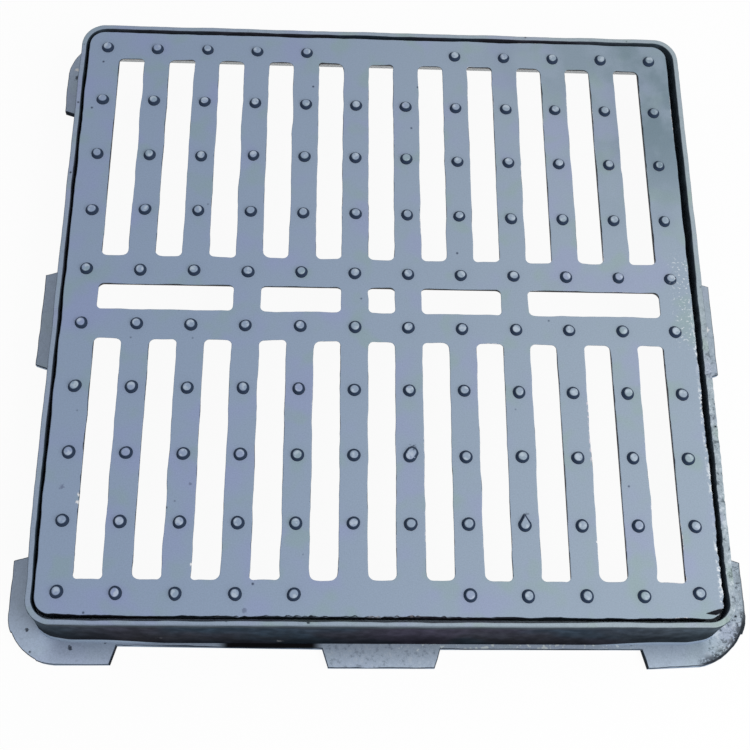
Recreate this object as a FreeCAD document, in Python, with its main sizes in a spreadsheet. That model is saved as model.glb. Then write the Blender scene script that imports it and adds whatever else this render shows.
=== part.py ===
import FreeCAD, Part
import math
import os
import Sketcher

# A cast-iron gully grate in its frame. Lengths in millimetres, +Z up.
# The frame stands on its base flange at Z = 0, centred on the origin.
# X runs along the row of slots, Y along the slots. The grate lies loose on the frame's seat.

doc = FreeCAD.newDocument("gully_grate")
sheet = doc.addObject("Spreadsheet::Sheet", "Dims")

DIMENSIONS = (
    # The slotted plate
    ("grate_length", 587.5, "grate, along the row of slots"),
    ("grate_width", 582.5, "grate, along the slots"),
    ("grate_corner_radius", 15, "plan radius of the grate's four corners"),
    ("grate_depth", 24, "grate, walking surface to the underside of its skirt"),
    ("plate_thickness", 7, "the slotted top plate alone"),
    ("skirt_thickness", 10, "downstand round the edge of the grate"),
    ("casting_draft_angle", 2, "slope of the skirt's outer face, degrees"),
    ("edge_radius", 1.2, "rounding of the grate's and the rim's top edges"),
    # Slots
    ("slot_count", 11, "long slots in each half, evenly spaced"),
    ("slot_width", 24.5, "slot at the walking surface"),
    ("slot_radius", 4.5, "rounding of the slot corners"),
    ("slot_side_flare", 1.1, "long slot's side walls, outward at the plate's underside"),
    ("slot_end_flare", 4, "long slot's end walls, outward at the plate's underside"),
    ("middle_slot_width", 25, "the row of slots across the middle"),
    ("middle_draft_angle", 17, "slope of the middle slots' walls, degrees, wider below"),
    ("crossbar_width", 29.5, "bar between a middle slot and a long slot"),
    ("side_bar_width", 31.5, "bar between the outermost slot and the grate's side"),
    ("end_bar_width", 31.25, "bar between a long slot's end and the grate's edge"),
    # Ribs below the bars
    ("rib_set_back", 2.25, "slot edge to the shoulder of a long rib, where it leaves the plate"),
    ("cross_rib_set_back", 4.5, "slot edge to the shoulder of a cross rib"),
    ("rib_shoulder_depth", 5, "height of the sloped shoulder"),
    ("rib_width", 12, "rib below the shoulder"),
    ("rib_foot_width", 8, "rib at its lower edge"),
    # Anti-slip studs
    ("stud_base", 12, "stud diameter at the plate"),
    ("stud_top", 7, "stud diameter at its flat top"),
    ("stud_height", 3.5, "stud above the walking surface"),
    ("end_stud_inset", 18.8, "outermost stud row, in from the grate's edge"),
    # Frame
    ("frame_height", 65, "underside of the flange to the top of the rim"),
    ("side_clearance", 4.8, "grate to pocket wall in X, when centred"),
    ("end_clearance", 3.6, "grate to pocket wall in Y, when centred"),
    ("rest_shift", 2, "how far the loose grate has slid towards -X"),
    ("pocket_radius", 19, "plan radius of the pocket that holds the grate"),
    ("rim_width", 4.8, "level top of the frame wall"),
    ("rim_radius", 23, "plan radius of the rim's outer corners"),
    ("wall_flare", 7, "how much further out the wall stands at its foot"),
    ("foot_radius", 22, "plan radius of the wall's foot"),
    ("seat_width", 14, "ledge that carries the grate"),
    ("seat_thickness", 6.5, "ledge at its inner edge"),
    ("seat_haunch", 12, "height of the slope below the ledge"),
    ("seat_radius", 8, "plan radius of the clear opening"),
    ("wall_setback", 4.8, "lower wall face below the haunch, outward from the pocket wall"),
    # Base flange and its lugs
    ("flange_thickness", 6, "base flange and lugs"),
    ("flange_lip", 4.4, "narrow flange beyond the wall's foot"),
    ("flange_radius", 26, "plan radius of the narrow flange"),
    ("lug_projection", 28, "lug tip, outward from the rim"),
    ("side_lug_tip", 94, "middle lug at its outer edge"),
    ("side_lug_root", 105, "middle lug where it meets the flange"),
    ("corner_lug_tip", 65, "corner lug at its outer edge, back from the rim corner"),
    ("corner_lug_root", 70, "corner lug where it meets the flange"),
    ("corner_lug_radius", 45, "outer rounding of a corner lug"),
    # Casting faults and damage
    ("lump_base", 11, "lump on one stud, diameter at the plate"),
    ("lump_top", 6.6, "the same lump at its top"),
    ("lump_shift_x", 1.8, "the lump's middle, right of the stud's"),
    ("lump_shift_y", 2.8, "the lump's middle, back from the stud's"),
    ("tail_base", 2.4, "tip of another stud's tail, diameter at the plate"),
    ("tail_top", 1.6, "the same tip at its top"),
    ("tail_base_reach", 9.2, "the tip at the plate, back from the stud's middle"),
    ("tail_top_reach", 6, "the tip at its top, back from the stud's middle"),
    ("chip_length", 16, "chipped corner of the plate, in from the side"),
    ("chip_width", 4, "chipped corner, along the side"),
    ("chip_inset", 5, "chipped corner, from the plate's front edge"),
    ("chip_depth", 5, "chipped corner, down from the walking surface"),
)

for row, (alias, size, note) in enumerate(DIMENSIONS, 1):
    sheet.set(f"A{row}", note)
    sheet.set(f"B{row}", str(size))
    sheet.setAlias(f"B{row}", alias)
doc.recompute()

# Sizes that follow from the driving ones, as expressions
POCKET_LENGTH = "(Dims.grate_length + 2 * Dims.side_clearance)"
POCKET_WIDTH = "(Dims.grate_width + 2 * Dims.end_clearance)"
RIM_LENGTH = f"({POCKET_LENGTH} + 2 * Dims.rim_width)"
RIM_WIDTH = f"({POCKET_WIDTH} + 2 * Dims.rim_width)"
FLANGE_REACH = "(Dims.wall_flare + Dims.flange_lip)"
SLOT_PITCH = "((Dims.grate_length - 2 * Dims.side_bar_width - Dims.slot_width) / (Dims.slot_count - 1))"
FIRST_SLOT = f"((Dims.slot_count - 1) / 2 * {SLOT_PITCH})"
SLOT_START = "(Dims.middle_slot_width / 2 + Dims.crossbar_width)"
SLOT_END = "(Dims.grate_width / 2 - Dims.end_bar_width)"
CROSSBAR_LINE = "(Dims.middle_slot_width / 2 + Dims.crossbar_width / 2)"
STUD_ROW_PITCH = f"((Dims.grate_width / 2 - Dims.end_stud_inset - {CROSSBAR_LINE}) / 4)"
SEAT_LEVEL = "(Dims.frame_height - Dims.grate_depth)"
END_ROW_LINE = "(Dims.grate_width / 2 - Dims.end_stud_inset)"
WALL_SLOPE = "atan(Dims.wall_flare / (Dims.frame_height - Dims.flange_thickness))"
STUD_SLOPE = "atan((Dims.stud_base - Dims.stud_top) / 2 / Dims.stud_height)"
LEVEL_TOLERANCE = 1e-4


def size_of(expression):
    """Present value of an expression, in millimetres or degrees."""
    return float(sheet.evalExpression(expression))


def origin_plane(body, role):
    return next(feature for feature in body.Origin.OriginFeatures if feature.Role == role)


def new_sketch(body, name, role="XY_Plane", x="0", y="0", level="0"):
    """Empty sketch on one of the body's own planes, its zero moved to x, y and raised to level."""
    sketch = body.newObject("Sketcher::SketchObject", name)
    sketch.AttachmentSupport = [(origin_plane(body, role), "")]
    sketch.MapMode = "FlatFace"
    for axis, place in (("x", x), ("y", y), ("z", level)):
        sketch.setExpression(f"AttachmentOffset.Base.{axis}", place)
    return sketch


def drive(sketch, name, expression, *constraint):
    """Adds a dimension to the sketch and ties it to the sheet."""
    index = sketch.addConstraint(Sketcher.Constraint(*constraint, size_of(expression)))
    sketch.renameConstraint(index, name)
    sketch.setExpression(f"Constraints.{name}", expression)


def rounded_rectangle(sketch, length, width, radius, middle="0"):
    """Outline centred on a point of the sketch's X axis: four sides, equal tangent arcs between them."""
    half_x, half_y, bend = size_of(length) / 2, size_of(width) / 2, size_of(radius)
    straight_x, straight_y = half_x - bend, half_y - bend
    corners = ((straight_x, -straight_y), (straight_x, straight_y),
               (-straight_x, straight_y), (-straight_x, -straight_y))
    sides = (((-straight_x, -half_y), (straight_x, -half_y)), ((half_x, -straight_y), (half_x, straight_y)),
             ((straight_x, half_y), (-straight_x, half_y)), ((-half_x, straight_y), (-half_x, -straight_y)))
    centre = FreeCAD.Vector(size_of(middle), 0, 0)
    point = sketch.addGeometry(Part.Point(centre), True)
    lines = []
    arcs = []
    for turn, (side, corner) in enumerate(zip(sides, corners)):
        start, end = (centre + FreeCAD.Vector(*place, 0) for place in side)
        lines.append(sketch.addGeometry(Part.LineSegment(start, end)))
        circle = Part.Circle(centre + FreeCAD.Vector(*corner, 0), FreeCAD.Vector(0, 0, 1), bend)
        first_angle = (turn - 1) * math.pi / 2
        arcs.append(sketch.addGeometry(Part.ArcOfCircle(circle, first_angle, first_angle + math.pi / 2)))
    for turn in range(4):
        sketch.addConstraint(Sketcher.Constraint("Tangent", lines[turn], 2, arcs[turn], 1))
        sketch.addConstraint(Sketcher.Constraint("Tangent", arcs[turn], 2, lines[(turn + 1) % 4], 1))
        sketch.addConstraint(Sketcher.Constraint(("Horizontal", "Vertical")[turn % 2], lines[turn]))
    for arc in arcs[1:]:
        sketch.addConstraint(Sketcher.Constraint("Equal", arcs[0], arc))
    sketch.addConstraint(Sketcher.Constraint("Symmetric", lines[0], 1, lines[2], 1, point, 1))
    sketch.addConstraint(Sketcher.Constraint("PointOnObject", point, 1, -1))
    drive(sketch, f"middle{point}", middle, "DistanceX", -1, 1, point, 1)
    drive(sketch, f"length{point}", length, "DistanceX", lines[3], 1, lines[1], 1)
    drive(sketch, f"width{point}", width, "DistanceY", lines[0], 1, lines[2], 1)
    drive(sketch, f"radius{point}", radius, "Radius", arcs[0])


def closed_outline(sketch, points, arcs=None):
    """Outline through points given as pairs of expressions, anticlockwise.

    arcs names the legs that are quarter circles: the number of a leg's first point, and its radius."""
    arcs = arcs or {}
    places = [FreeCAD.Vector(size_of(x), size_of(y), 0) for x, y in points]
    legs = []
    for number, start in enumerate(places):
        end = places[(number + 1) % len(places)]
        if number in arcs:
            chord = end - start
            middle = (start + end) / 2
            centre = middle + FreeCAD.Vector(-chord.y, chord.x, 0) / 2
            first_angle = math.atan2(start.y - centre.y, start.x - centre.x)
            circle = Part.Circle(centre, FreeCAD.Vector(0, 0, 1), size_of(arcs[number]))
            legs.append(sketch.addGeometry(Part.ArcOfCircle(circle, first_angle, first_angle + math.pi / 2)))
        else:
            legs.append(sketch.addGeometry(Part.LineSegment(start, end)))
    for number, leg in enumerate(legs):
        sketch.addConstraint(Sketcher.Constraint("Coincident", legs[number - 1], 2, leg, 1))
    for number, (x, y) in enumerate(points):
        drive(sketch, f"x{number}", x, "DistanceX", -1, 1, legs[number], 1)
        drive(sketch, f"y{number}", y, "DistanceY", -1, 1, legs[number], 1)
    for number, radius in arcs.items():
        drive(sketch, f"radius{number}", radius, "Radius", legs[number])


def sketch_rectangle(body, name, length, width, radius, **place):
    sketch = new_sketch(body, name, **place)
    rounded_rectangle(sketch, length, width, radius)
    return sketch


def extrude(body, kind, name, sketch, length, downward=False, taper="0", both_ways=False):
    """Pad or Pocket of the sketch, upward unless it is told to go downward or both ways."""
    feature = body.newObject(f"PartDesign::{kind}", name)
    feature.Profile = sketch
    feature.setExpression("Length", length)
    feature.setExpression("TaperAngle", taper)
    feature.Reversed = downward if kind == "Pad" else not downward
    if both_ways:
        feature.SideType = "Symmetric"
    doc.recompute()
    return feature


def loft(body, kind, name, first, last):
    feature = body.newObject(f"PartDesign::{kind}", name)
    feature.Profile = first
    feature.Sections = [last]
    feature.Ruled = True
    doc.recompute()
    return feature


def even_row(body, name, sketch, axis, count, pitch):
    """A row of copies along one of the sketch's axes."""
    step = body.newObject("PartDesign::LinearPattern", name)
    step.Direction = (sketch, [axis])
    step.setExpression("Occurrences", count)
    step.setExpression("Length", f"({count} - 1) * {pitch}")
    return step


def reflection(body, name, role):
    step = body.newObject("PartDesign::Mirrored", name)
    step.MirrorPlane = (origin_plane(body, role), [""])
    return step


def repeat(body, name, feature, steps):
    """Copies a feature by several steps, each step copying all that the one before it gave."""
    group = body.newObject("PartDesign::MultiTransform", name)
    group.Originals = [feature]
    group.Transformations = steps
    body.Tip = group
    doc.recompute()


def repeat_once(body, feature, step):
    step.Originals = [feature]
    body.Tip = step
    doc.recompute()


def round_level_edges(body, name, level):
    """Rounds every edge that lies flat at one level."""
    carrier = body.Tip
    names = []
    for number, edge in enumerate(carrier.Shape.Edges, 1):
        box = edge.BoundBox
        if abs(box.ZMin - level) < LEVEL_TOLERANCE and abs(box.ZMax - level) < LEVEL_TOLERANCE:
            names.append(f"Edge{number}")
    fillet = body.newObject("PartDesign::Fillet", name)
    fillet.Base = (carrier, names)
    fillet.setExpression("Radius", "Dims.edge_radius")
    body.Tip = fillet
    doc.recompute()


def frame_wall(body):
    """Base flange, lugs and the wall that leans in from its foot to the rim."""
    flange = sketch_rectangle(body, "flange_outline",
                              f"{RIM_LENGTH} + 2 * {FLANGE_REACH}", f"{RIM_WIDTH} + 2 * {FLANGE_REACH}",
                              "Dims.flange_radius")
    extrude(body, "Pad", "Flange", flange, "Dims.flange_thickness")
    foot = sketch_rectangle(body, "wall_foot",
                            f"{RIM_LENGTH} + 2 * Dims.wall_flare", f"{RIM_WIDTH} + 2 * Dims.wall_flare",
                            "Dims.foot_radius", level="Dims.flange_thickness")
    rim = sketch_rectangle(body, "wall_rim", RIM_LENGTH, RIM_WIDTH, "Dims.rim_radius",
                           level="Dims.frame_height")
    loft(body, "AdditiveLoft", "Wall", foot, rim)
    round_level_edges(body, "RimEdge", size_of("Dims.frame_height"))


def side_lug(body, name, axis, reach, mirror_role):
    """Tapered lug at the middle of a side, and its twin on the opposite side."""
    tip = f"-({reach} / 2 + Dims.lug_projection)"
    root = f"-({reach} / 2 + {FLANGE_REACH})"
    inner = f"-({reach} / 2)"
    across = (("-Dims.side_lug_root / 2", inner), ("-Dims.side_lug_root / 2", root),
              ("-Dims.side_lug_tip / 2", tip), ("Dims.side_lug_tip / 2", tip),
              ("Dims.side_lug_root / 2", root), ("Dims.side_lug_root / 2", inner))
    points = across if axis == "y" else [(out, along) for along, out in reversed(across)]
    sketch = new_sketch(body, f"{name}_outline")
    closed_outline(sketch, points)
    lug = extrude(body, "Pad", name, sketch, "Dims.flange_thickness")
    repeat_once(body, lug, reflection(body, f"{name}Twin", mirror_role))


def corner_lugs(body):
    """Round lugs on three corners. The casting has none at its back right corner."""
    rim_x, rim_y = f"-{RIM_LENGTH} / 2", f"-{RIM_WIDTH} / 2"
    tip_x, tip_y = f"{rim_x} - Dims.lug_projection", f"{rim_y} - Dims.lug_projection"
    points = ((tip_x, f"{tip_y} + Dims.corner_lug_radius"),
              (f"{tip_x} + Dims.corner_lug_radius", tip_y),
              (f"{rim_x} + Dims.corner_lug_tip", tip_y),
              (f"{rim_x} + Dims.corner_lug_root", f"{rim_y} - {FLANGE_REACH}"),
              (f"{rim_x} + Dims.corner_lug_root", rim_y),
              (rim_x, f"{rim_y} + Dims.corner_lug_root"),
              (f"{rim_x} - {FLANGE_REACH}", f"{rim_y} + Dims.corner_lug_root"),
              (tip_x, f"{rim_y} + Dims.corner_lug_tip"))
    sketch = new_sketch(body, "corner_lug_outline")
    closed_outline(sketch, points, {0: "Dims.corner_lug_radius"})
    lug = extrude(body, "Pad", "CornerLug", sketch, "Dims.flange_thickness")
    repeat_once(body, lug, reflection(body, "CornerLugRight", "YZ_Plane"))
    repeat_once(body, lug, reflection(body, "CornerLugBack", "XZ_Plane"))


def frame_inside(body):
    """Pocket for the grate, the seat it rests on, and the space below, inside an even wall."""
    pocket = sketch_rectangle(body, "pocket_outline", POCKET_LENGTH, POCKET_WIDTH, "Dims.pocket_radius",
                              level="Dims.frame_height")
    extrude(body, "Pocket", "GratePocket", pocket, "Dims.grate_depth", downward=True)
    seat_length = f"{POCKET_LENGTH} - 2 * Dims.seat_width"
    seat_width = f"{POCKET_WIDTH} - 2 * Dims.seat_width"
    opening = sketch_rectangle(body, "clear_opening", seat_length, seat_width, "Dims.seat_radius",
                               level=SEAT_LEVEL)
    extrude(body, "Pocket", "ClearOpening", opening, SEAT_LEVEL, downward=True)
    lower_length = f"{POCKET_LENGTH} + 2 * Dims.wall_setback"
    lower_width = f"{POCKET_WIDTH} + 2 * Dims.wall_setback"
    haunch_foot = f"{SEAT_LEVEL} - Dims.seat_thickness - Dims.seat_haunch"
    lower = sketch_rectangle(body, "lower_outline", lower_length, lower_width, "Dims.seat_radius",
                             level=haunch_foot)
    extrude(body, "Pocket", "LowerSpace", lower, haunch_foot, downward=True, taper=WALL_SLOPE)
    below = sketch_rectangle(body, "haunch_foot", lower_length, lower_width, "Dims.seat_radius",
                             level=haunch_foot)
    above = sketch_rectangle(body, "haunch_top", seat_length, seat_width, "Dims.seat_radius",
                             level=f"{SEAT_LEVEL} - Dims.seat_thickness")
    loft(body, "SubtractiveLoft", "Haunch", below, above)


def grate_block(body):
    """Outside of the grate, with the draft and the rounded top edge of a sand casting."""
    outline = sketch_rectangle(body, "grate_outline", "Dims.grate_length", "Dims.grate_width",
                               "Dims.grate_corner_radius")
    extrude(body, "Pad", "Block", outline, "Dims.grate_depth", downward=True,
            taper="-Dims.casting_draft_angle")
    round_level_edges(body, "BlockEdge", 0)


def grate_hollow(body):
    """Hollows the block from below, which leaves the plate and the skirt round its edge."""
    inside = sketch_rectangle(body, "hollow_outline", "Dims.grate_length - 2 * Dims.skirt_thickness",
                              "Dims.grate_width - 2 * Dims.skirt_thickness",
                              "Dims.grate_corner_radius - Dims.skirt_thickness", level="-Dims.grate_depth")
    extrude(body, "Pocket", "Hollow", inside, "Dims.grate_depth - Dims.plate_thickness")


def rib_section(sketch, shoulder_width, middle):
    """Rib below a bar: sloped shoulders under the plate, then a wedge down to the lower edge."""
    top = "-Dims.plate_thickness"
    shoulder = f"{top} - Dims.rib_shoulder_depth"
    foot = "-Dims.grate_depth"
    sides = ((shoulder_width, top), ("Dims.rib_width", shoulder), ("Dims.rib_foot_width", foot))
    right = [(f"{middle} + {width} / 2", level) for width, level in reversed(sides)]
    left = [(f"{middle} - {width} / 2", level) for width, level in sides]
    closed_outline(sketch, right + left)


def long_ribs(body):
    """A rib under each bar between two long slots, from skirt to skirt."""
    sketch = new_sketch(body, "rib_section", "XZ_Plane")
    rib_section(sketch, f"({SLOT_PITCH} - Dims.slot_width - 2 * Dims.rib_set_back)",
                f"-({FIRST_SLOT} - {SLOT_PITCH} / 2)")
    rib = extrude(body, "Pad", "Rib", sketch, "Dims.grate_width - Dims.skirt_thickness", both_ways=True)
    repeat_once(body, rib, even_row(body, "Ribs", sketch, "H_Axis", "(Dims.slot_count - 1)", SLOT_PITCH))


def middle_row(sketch, width):
    """Outlines of the middle row: a square one, two beside it, and two that end where the long slots do."""
    outermost = (size_of("Dims.slot_count") - 1) / 2
    for first, last in ((-outermost, -3), (-2, -1), (0, 0), (1, 2), (3, outermost)):
        length = f"{last - first} * {SLOT_PITCH} + Dims.slot_width"
        rounded_rectangle(sketch, length, width, "Dims.slot_radius", f"{(first + last) / 2} * {SLOT_PITCH}")


def clear_middle(body):
    """Takes the ribs away below the middle slots, as far as the crossbars."""
    sketch = new_sketch(body, "middle_space_outlines", level="-Dims.grate_depth")
    middle_row(sketch, f"2 * {CROSSBAR_LINE}")
    extrude(body, "Pocket", "MiddleSpaces", sketch, "Dims.grate_depth - Dims.plate_thickness")


def cross_ribs(body):
    sketch = new_sketch(body, "cross_rib_section", "YZ_Plane")
    rib_section(sketch, "(Dims.crossbar_width - 2 * Dims.cross_rib_set_back)", CROSSBAR_LINE)
    rib = extrude(body, "Pad", "CrossRib", sketch, "Dims.grate_length - Dims.skirt_thickness",
                  both_ways=True)
    repeat_once(body, rib, reflection(body, "CrossRibFront", "XZ_Plane"))


def long_slots(body):
    """Two rows of long slots through the plate. Their walls slope outward, most at the ends."""
    middle = {"x": f"-{FIRST_SLOT}", "y": f"({SLOT_START} + {SLOT_END}) / 2"}
    length = f"({SLOT_END} - {SLOT_START})"
    above = sketch_rectangle(body, "long_slot_outline", "Dims.slot_width", length, "Dims.slot_radius",
                             **middle)
    below = sketch_rectangle(body, "long_slot_foot", "Dims.slot_width + 2 * Dims.slot_side_flare",
                             f"{length} + 2 * Dims.slot_end_flare", "Dims.slot_radius",
                             level="-Dims.plate_thickness", **middle)
    slot = loft(body, "SubtractiveLoft", "LongSlot", above, below)
    steps = [even_row(body, "LongSlotRow", above, "H_Axis", "Dims.slot_count", SLOT_PITCH),
             reflection(body, "LongSlotFront", "XZ_Plane")]
    repeat(body, "LongSlots", slot, steps)


def middle_slots(body):
    sketch = new_sketch(body, "middle_slot_outlines")
    middle_row(sketch, "Dims.middle_slot_width")
    extrude(body, "Pocket", "MiddleSlots", sketch, "Dims.plate_thickness", downward=True,
            taper="Dims.middle_draft_angle")


def stud_ring(sketch, base):
    circle = Part.Circle(FreeCAD.Vector(0, 0, 0), FreeCAD.Vector(0, 0, 1), size_of(base) / 2)
    ring = sketch.addGeometry(circle)
    sketch.addConstraint(Sketcher.Constraint("Coincident", ring, 3, -1, 1))
    drive(sketch, "base", base, "Diameter", ring)


def stud_group(body, name, x, y, columns, rows):
    """Studs in one quarter of the plate, repeated in the other three."""
    sketch = new_sketch(body, f"{name}_outline", x=x, y=y)
    stud_ring(sketch, "Dims.stud_base")
    stud = extrude(body, "Pad", name, sketch, "Dims.stud_height", taper=f"-{STUD_SLOPE}")
    steps = [even_row(body, f"{name}Row", sketch, "H_Axis", columns, SLOT_PITCH),
             even_row(body, f"{name}Rows", sketch, "V_Axis", rows, STUD_ROW_PITCH),
             reflection(body, f"{name}Left", "YZ_Plane"), reflection(body, f"{name}Front", "XZ_Plane")]
    repeat(body, f"{name}s", stud, steps)


def drawn_out_ring(sketch, wide, narrow, run_x, run_y):
    """Outline round two circles: one at the stud's middle, one where the iron has run out to."""
    wide_radius, narrow_radius = size_of(wide) / 2, size_of(narrow) / 2
    run = FreeCAD.Vector(size_of(run_x), size_of(run_y), 0)
    heading = math.atan2(run.y, run.x)
    lean = math.acos((wide_radius - narrow_radius) / run.Length)
    upright = FreeCAD.Vector(0, 0, 1)
    wide_arc = Part.ArcOfCircle(Part.Circle(FreeCAD.Vector(), upright, wide_radius),
                                heading + lean, heading - lean + 2 * math.pi)
    narrow_arc = Part.ArcOfCircle(Part.Circle(run, upright, narrow_radius), heading - lean, heading + lean)
    legs = [wide_arc, Part.LineSegment(wide_arc.EndPoint, narrow_arc.StartPoint),
            narrow_arc, Part.LineSegment(narrow_arc.EndPoint, wide_arc.StartPoint)]
    around, _, beyond, _ = legs = [sketch.addGeometry(leg) for leg in legs]
    for number, leg in enumerate(legs):
        sketch.addConstraint(Sketcher.Constraint("Tangent", legs[number - 1], 2, leg, 1))
    sketch.addConstraint(Sketcher.Constraint("Coincident", around, 3, -1, 1))
    drive(sketch, "wide", f"{wide} / 2", "Radius", around)
    drive(sketch, "narrow", f"{narrow} / 2", "Radius", beyond)
    drive(sketch, "run_x", run_x, "DistanceX", -1, 1, beyond, 3)
    drive(sketch, "run_y", run_y, "DistanceY", -1, 1, beyond, 3)


def drawn_out_stud(body, name, x, y, base_run, top_run):
    """A stud whose iron has run out to one side. Each run gives the far circle's diameter and place."""
    base = new_sketch(body, f"{name}_base", x=x, y=y)
    drawn_out_ring(base, "Dims.stud_base", *base_run)
    top = new_sketch(body, f"{name}_top", x=x, y=y, level="Dims.stud_height")
    drawn_out_ring(top, "Dims.stud_top", *top_run)
    loft(body, "AdditiveLoft", name, base, top)


def studs(body):
    """Studs on every bar. The first and last rows have none on their two middle bars.

    Two studs are badly cast: one swells to its back right, one has a tail towards the back."""
    stud_group(body, "Stud", f"{SLOT_PITCH} / 2", CROSSBAR_LINE, "(Dims.slot_count + 1) / 2", "4")
    stud_group(body, "EndStud", f"1.5 * {SLOT_PITCH}", END_ROW_LINE, "(Dims.slot_count - 1) / 2", "1")
    lump_place = ("Dims.lump_shift_x", "Dims.lump_shift_y")
    drawn_out_stud(body, "LumpedStud", f"0.5 * {SLOT_PITCH}", f"-({CROSSBAR_LINE} + 2 * {STUD_ROW_PITCH})",
                   ("Dims.lump_base", *lump_place), ("Dims.lump_top", *lump_place))
    drawn_out_stud(body, "TailedStud", f"2.5 * {SLOT_PITCH}", f"-({CROSSBAR_LINE} + 3 * {STUD_ROW_PITCH})",
                   ("Dims.tail_base", "0", "Dims.tail_base_reach"),
                   ("Dims.tail_top", "0", "Dims.tail_top_reach"))


def chipped_corner(body):
    """Chip knocked out of the plate's front right corner, running in from the edge to a point."""
    corner_x, corner_y = "Dims.grate_length / 2", "-Dims.grate_width / 2"
    edge = f"{corner_x} - Dims.chip_width / 4"
    points = ((f"{corner_x} - Dims.chip_length", f"{corner_y} + Dims.chip_inset"),
              (f"{corner_x} - 0.6 * Dims.chip_length", f"{corner_y} + Dims.chip_inset - Dims.chip_width / 4"),
              (edge, f"{corner_y} + Dims.chip_inset"),
              (edge, f"{corner_y} + Dims.chip_inset + Dims.chip_width"),
              (f"{corner_x} - 0.6 * Dims.chip_length", f"{corner_y} + Dims.chip_inset + Dims.chip_width / 2"))
    sketch = new_sketch(body, "chip_outline")
    closed_outline(sketch, points)
    extrude(body, "Pocket", "Chip", sketch, "Dims.chip_depth", downward=True)


def make_grate():
    body = doc.addObject("PartDesign::Body", "Grate")
    body.Label = "grate"
    grate_block(body)
    chipped_corner(body)
    studs(body)
    grate_hollow(body)
    long_ribs(body)
    clear_middle(body)
    cross_ribs(body)
    long_slots(body)
    middle_slots(body)
    body.setExpression("Placement.Base.x", "-Dims.rest_shift")
    body.setExpression("Placement.Base.z", "Dims.frame_height")
    return body


def make_frame():
    body = doc.addObject("PartDesign::Body", "Frame")
    body.Label = "frame"
    frame_wall(body)
    side_lug(body, "FrontLug", "y", RIM_WIDTH, "XZ_Plane")
    side_lug(body, "LeftLug", "x", RIM_LENGTH, "YZ_Plane")
    corner_lugs(body)
    frame_inside(body)
    return body


def check_and_write(bodies):
    """Stops if anything failed to build, then writes each piece to its own file."""
    doc.recompute()
    for item in doc.Objects:
        if "Invalid" in item.State or "Error" in item.State:
            raise RuntimeError(f"{item.Label}: {item.State}")
    for body in bodies:
        if body.Shape.isNull() or not body.Shape.isValid():
            raise RuntimeError(f"{body.Label}: no valid solid")
    os.makedirs("parts", exist_ok=True)
    for body in bodies:
        body.Shape.exportStep(f"parts/{body.Label}.step")
        print(body.Label, "solids", len(body.Shape.Solids), "volume", round(body.Shape.Volume),
              "box", body.Shape.BoundBox)


check_and_write([make_frame(), make_grate()])
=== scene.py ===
# %% [markdown]
# # A gully grate in its frame
#
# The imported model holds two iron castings: a square frame, and a slotted grate that lies loose in it.
# This lesson dresses them. Their form stays, so the work is in what sand moulding, a thin coat and
# rough handling leave on iron: soft uneven edges, chips, stains and a pitted skin.

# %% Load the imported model
import math

import bmesh
import bpy
from mathutils import Matrix, Vector, noise


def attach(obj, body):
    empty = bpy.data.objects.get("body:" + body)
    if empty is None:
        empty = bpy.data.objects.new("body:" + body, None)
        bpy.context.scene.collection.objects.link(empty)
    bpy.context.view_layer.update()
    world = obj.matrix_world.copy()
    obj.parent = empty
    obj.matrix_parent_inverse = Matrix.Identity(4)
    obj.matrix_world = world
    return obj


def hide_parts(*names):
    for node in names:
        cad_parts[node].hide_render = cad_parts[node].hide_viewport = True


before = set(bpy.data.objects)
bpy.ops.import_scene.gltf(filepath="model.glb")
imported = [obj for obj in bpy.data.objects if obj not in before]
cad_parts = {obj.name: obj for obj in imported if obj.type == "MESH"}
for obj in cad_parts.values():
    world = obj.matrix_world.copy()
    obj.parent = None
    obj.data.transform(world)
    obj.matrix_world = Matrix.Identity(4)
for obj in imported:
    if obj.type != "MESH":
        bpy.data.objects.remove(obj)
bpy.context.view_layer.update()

MM = 0.001

# %% [markdown]
# ## Camera
#
# The photograph was taken by hand from above the front edge, a little left of the middle, at about a
# metre. The place, the aim and the lens were worked out beforehand from the studs, whose spacing is
# even. A camera's local axes are right, up and back, so they go straight into the columns of its matrix.

# %% Camera at the photograph's viewing angle
camera_place = Vector((-0.0498, -0.4173, 1.0100))
camera_aim = Vector((0.0414, 0.3411, -0.9391)).normalized()
camera_right = Vector((0.9990, -0.0005, 0.0439))
image_side = 750
lens_in_pixels = 1106.4

back = -camera_aim
up = back.cross(camera_right).normalized()
right = up.cross(back)
camera_data = bpy.data.cameras.new("camera")
camera_data.sensor_width = 36
camera_data.lens = camera_data.sensor_width * lens_in_pixels / image_side
camera = bpy.data.objects.new("camera", camera_data)
bpy.context.scene.collection.objects.link(camera)
camera.matrix_world = Matrix.Translation(camera_place) @ Matrix((right, up, back)).transposed().to_4x4()
bpy.context.scene.camera = camera
bpy.context.scene.view_settings.view_transform = "Standard"
print("lens", round(camera_data.lens, 2), "mm")

# %% [markdown]
# ## A copy of a casting to work on
#
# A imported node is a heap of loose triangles, which no edge tool can follow. In a copy, the corners that
# meet are joined and the flat faces are made whole again. The edges that are left are the ones that a
# pattern maker would see: the rims of the slots, the feet of the studs, the edges of the lugs.


# %% Editable copy of a node
def editable_copy(name):
    shape = bmesh.new()
    shape.from_mesh(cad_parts[name].data)
    bmesh.ops.remove_doubles(shape, verts=shape.verts, dist=0.001 * MM)
    bmesh.ops.dissolve_limit(shape, angle_limit=math.radians(1), verts=shape.verts, edges=shape.edges)
    print(name, len(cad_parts[name].data.polygons), "triangles became", len(shape.faces), "faces")
    return shape


grate = editable_copy("grate")
surround = editable_copy("frame")

# %% [markdown]
# ## Edges that the mould rounded
#
# Sand can't hold a knife edge, so every edge of a casting is a little round, and that thin round edge is
# what catches the light. The model rounds the outer edges only. Bevelling the others one level at a time
# keeps them easy to name: a level is the walking surface, the tops of the studs or the top of a lug.


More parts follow.
